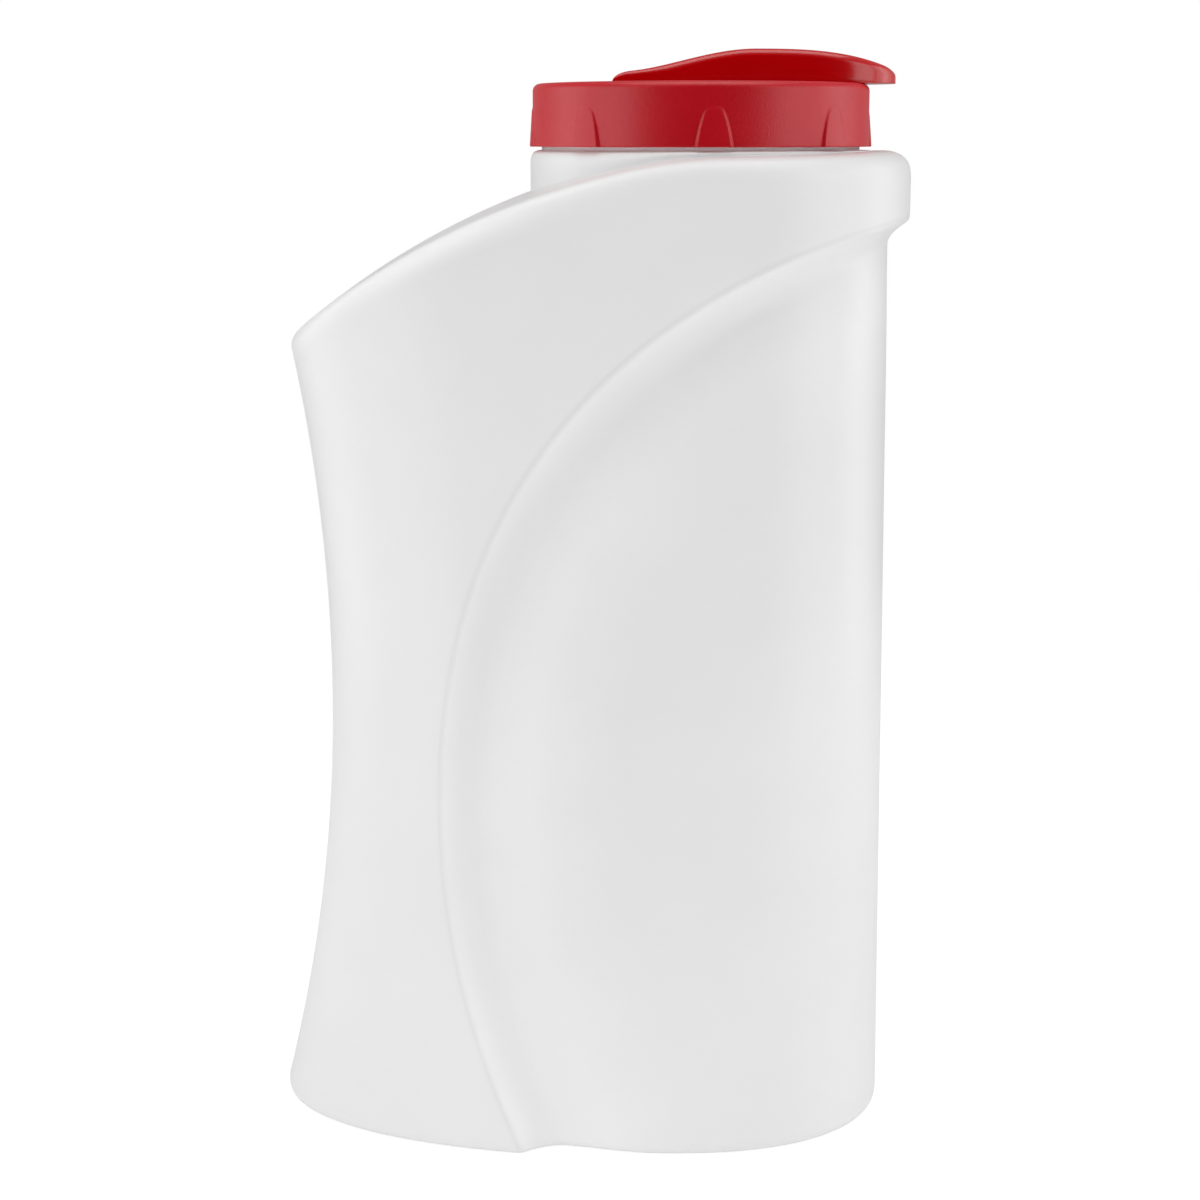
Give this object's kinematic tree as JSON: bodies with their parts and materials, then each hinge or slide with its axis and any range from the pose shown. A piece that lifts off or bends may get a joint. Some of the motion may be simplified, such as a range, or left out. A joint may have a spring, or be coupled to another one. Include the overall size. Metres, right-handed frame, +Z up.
{
  "type": "plastic water bottle",
  "caption": "Slim translucent water bottle for a refrigerator door, with a hollowed grip end, recessed side panels, a round screw cap and a flip cover over the spout.",
  "frame": {"origin": "bottom centre of the bounding box, on the plane that the foot ring rests on", "axes": "+Z up through the bottle, +X from the grip end to the pouring end, +Y from the front face to the back face"},
  "size_m": [0.1522, 0.0964, 0.2572],
  "materials": {
    "bottle_body": "frosted natural polyethylene, satin",
    "cap_red": "fine-grained satin red",
    "cover_red": "glossy red"
  },
  "bodies": {
    "root": {"bottle": "bottle_body", "cap": "cap_red", "flip_cover": "cover_red"}
  },
  "joints": []
}
